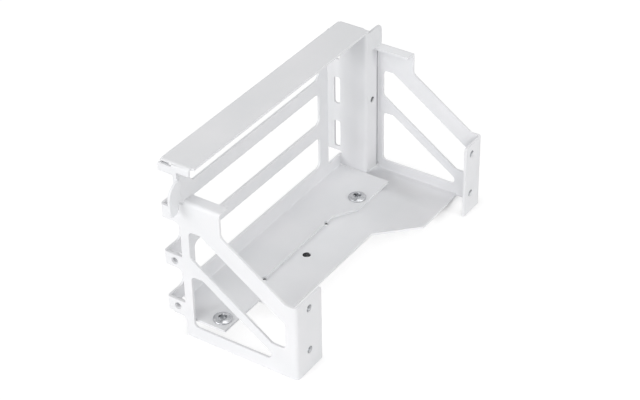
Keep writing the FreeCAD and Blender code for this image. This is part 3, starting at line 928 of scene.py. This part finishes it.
@dataclass
class Studio:
    """Floor, soft light and a camera at the photograph's viewing angle."""

    paper: bpy.types.Material
    pieces: Dict[Reach, List[bpy.types.Object]]
    eye_mm: Point = (-458.21, -275.11, 394.79)
    yaw_deg: float = 33.936
    pitch_deg: float = 34.950
    roll_deg: float = -0.984
    focal_px: float = 1788.8
    sensor_mm: float = 36.0
    clip_start_mm: float = 10.0
    ambient: float = 0.35
    floor_size: float = 8.0
    floor_gap_mm: float = 0.02
    lamps: Tuple[SoftLamp, ...] = (
        SoftLamp("left_lamp", (-0.95, -0.10, 0.30), 10.7, Reach.FRAME),
        SoftLamp("front_lamp", (0.0, -0.86, 0.51), 16.4, Reach.FRAME),
        SoftLamp("back_lamp", (-0.80, 0.40, 0.45), 19.4, Reach.FRAME),
        SoftLamp("high_lamp", (0.05, -0.15, 0.95), 6.3, Reach.FRAME),
        SoftLamp("key_bracket_lamp", (-0.70, -0.47, 0.54), 15.0, Reach.BRACKET),
        SoftLamp("left_bracket_lamp", (-0.92, -0.30, 0.25), 15.5, Reach.BRACKET),
        SoftLamp("front_bracket_lamp", (0.0, -0.86, 0.51), 8.8, Reach.BRACKET),
        SoftLamp("rear_bracket_lamp", (0.30, 0.75, 0.60), 21.5, Reach.BRACKET),
    )

    def build(self) -> None:
        """Lay the floor, light it and set the camera."""
        lowest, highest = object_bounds()
        self.pieces[Reach.FRAME].append(self.lay_floor(lowest.z))
        lit = {reach: bpy.data.collections.new("lit_" + reach.value) for reach in Reach}
        for reach, pieces in self.pieces.items():
            for piece in pieces:
                lit[reach].objects.link(piece)
        for lamp in self.lamps:
            lamp.build((lowest + highest) / 2, lit[lamp.reach])
        self.light_world()
        self.set_camera()
        bpy.context.scene.view_settings.view_transform = "Standard"

    def lay_floor(self, height: float) -> bpy.types.Object:
        """Lay the paper just under the lowest edge.

        Args:
            height: Height of that edge.

        Returns:
            The floor.
        """
        bpy.ops.object.select_all(action="DESELECT")
        bpy.ops.mesh.primitive_plane_add(size=self.floor_size,
                                         location=(0, 0, height - self.floor_gap_mm * MM))
        floor = bpy.context.object
        floor.name = "studio_floor"
        settle(floor)
        floor.data.materials.append(self.paper)
        floor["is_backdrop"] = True
        return floor

    def light_world(self) -> None:
        """Fill the room with even light, and show it as white behind the mount."""
        world = bpy.data.worlds.new("studio_room")
        bpy.context.scene.world = world
        world.use_nodes = True
        tree = world.node_tree
        tree.nodes.clear()
        fill, white = (add_node(tree, "ShaderNodeBackground",
                                values={"Color": linear(WHITE), "Strength": strength})
                       for strength in (self.ambient, 1.0))
        mixed = add_node(tree, "ShaderNodeMixShader",
                         links={0: seen_directly(tree), 1: fill.outputs["Background"],
                                2: white.outputs["Background"]})
        add_node(tree, "ShaderNodeOutputWorld", links={"Surface": mixed.outputs["Shader"]})

    def set_camera(self) -> None:
        """Stand the camera where the photograph was taken."""
        yaw, pitch, roll = (math.radians(a) for a in (self.yaw_deg, self.pitch_deg, self.roll_deg))
        ahead = Vector((math.cos(pitch) * math.cos(yaw), math.cos(pitch) * math.sin(yaw), -math.sin(pitch)))
        level = ahead.cross(Vector((0, 0, 1))).normalized()
        upright = level.cross(ahead)
        right = level * math.cos(roll) + upright * math.sin(roll)
        up = upright * math.cos(roll) - level * math.sin(roll)
        data = bpy.data.cameras.new("photo_camera")
        data.sensor_fit = "HORIZONTAL"
        data.sensor_width = self.sensor_mm
        data.lens = self.focal_px * self.sensor_mm / IMAGE_WIDTH
        data.clip_start = self.clip_start_mm * MM
        camera = bpy.data.objects.new("photo_camera", data)
        bpy.context.scene.collection.objects.link(camera)
        camera.matrix_world = Matrix((right, up, -ahead)).transposed().to_4x4()
        camera.location = Vector(self.eye_mm) * MM
        bpy.context.scene.camera = camera


def main() -> None:
    """Build the sheets, the screws, the threads, the bead and the studio in order."""
    logging.basicConfig(level=logging.INFO, format="%(name)s: %(message)s")
    coat = PowderCoat().material()
    walls = {Cut.COATED: coat, Cut.CLEAN: CutSteel().material(),
             # The two darker steels are painted shade for the dark depths of the post, riser and pilot
             # holes.
             Cut.DULL: CutSteel("mid_shade_steel", dark="#55575A", light="#6E7073").material(),
             Cut.OILED: CutSteel("deep_shade_steel", dark="#101012", light="#242527").material()}
    # A darker copy of the coat: painted shade for the groove beside the post.
    groove_shade_coat = PowderCoat("painted_groove_shade", thin="#CDCED0", thick="#D5D6D8").material()
    grooves = {Sheet.BASE_BRACKET: BendGroove(groove_shade_coat)}
    sheets = {sheet: FoldedSheet(sheet, coat, grooves.get(sheet)).build() for sheet in Sheet}
    screws = ClampScrews(NickelPlate().material()).build()
    threads = TappedThreads(walls).build()
    bead = CornerFill(coat).build()
    pieces = {Reach.FRAME: [sheets[Sheet.SLOT_FRAME], bead, *screws, *threads],
              Reach.BRACKET: [sheets[Sheet.BASE_BRACKET]]}
    for piece in sum(pieces.values(), []):
        log.info("%s: %d faces", piece.name, len(piece.data.polygons))
    Studio(StudioPaper().material(), pieces).build()


if __name__ == "__main__":
    main()
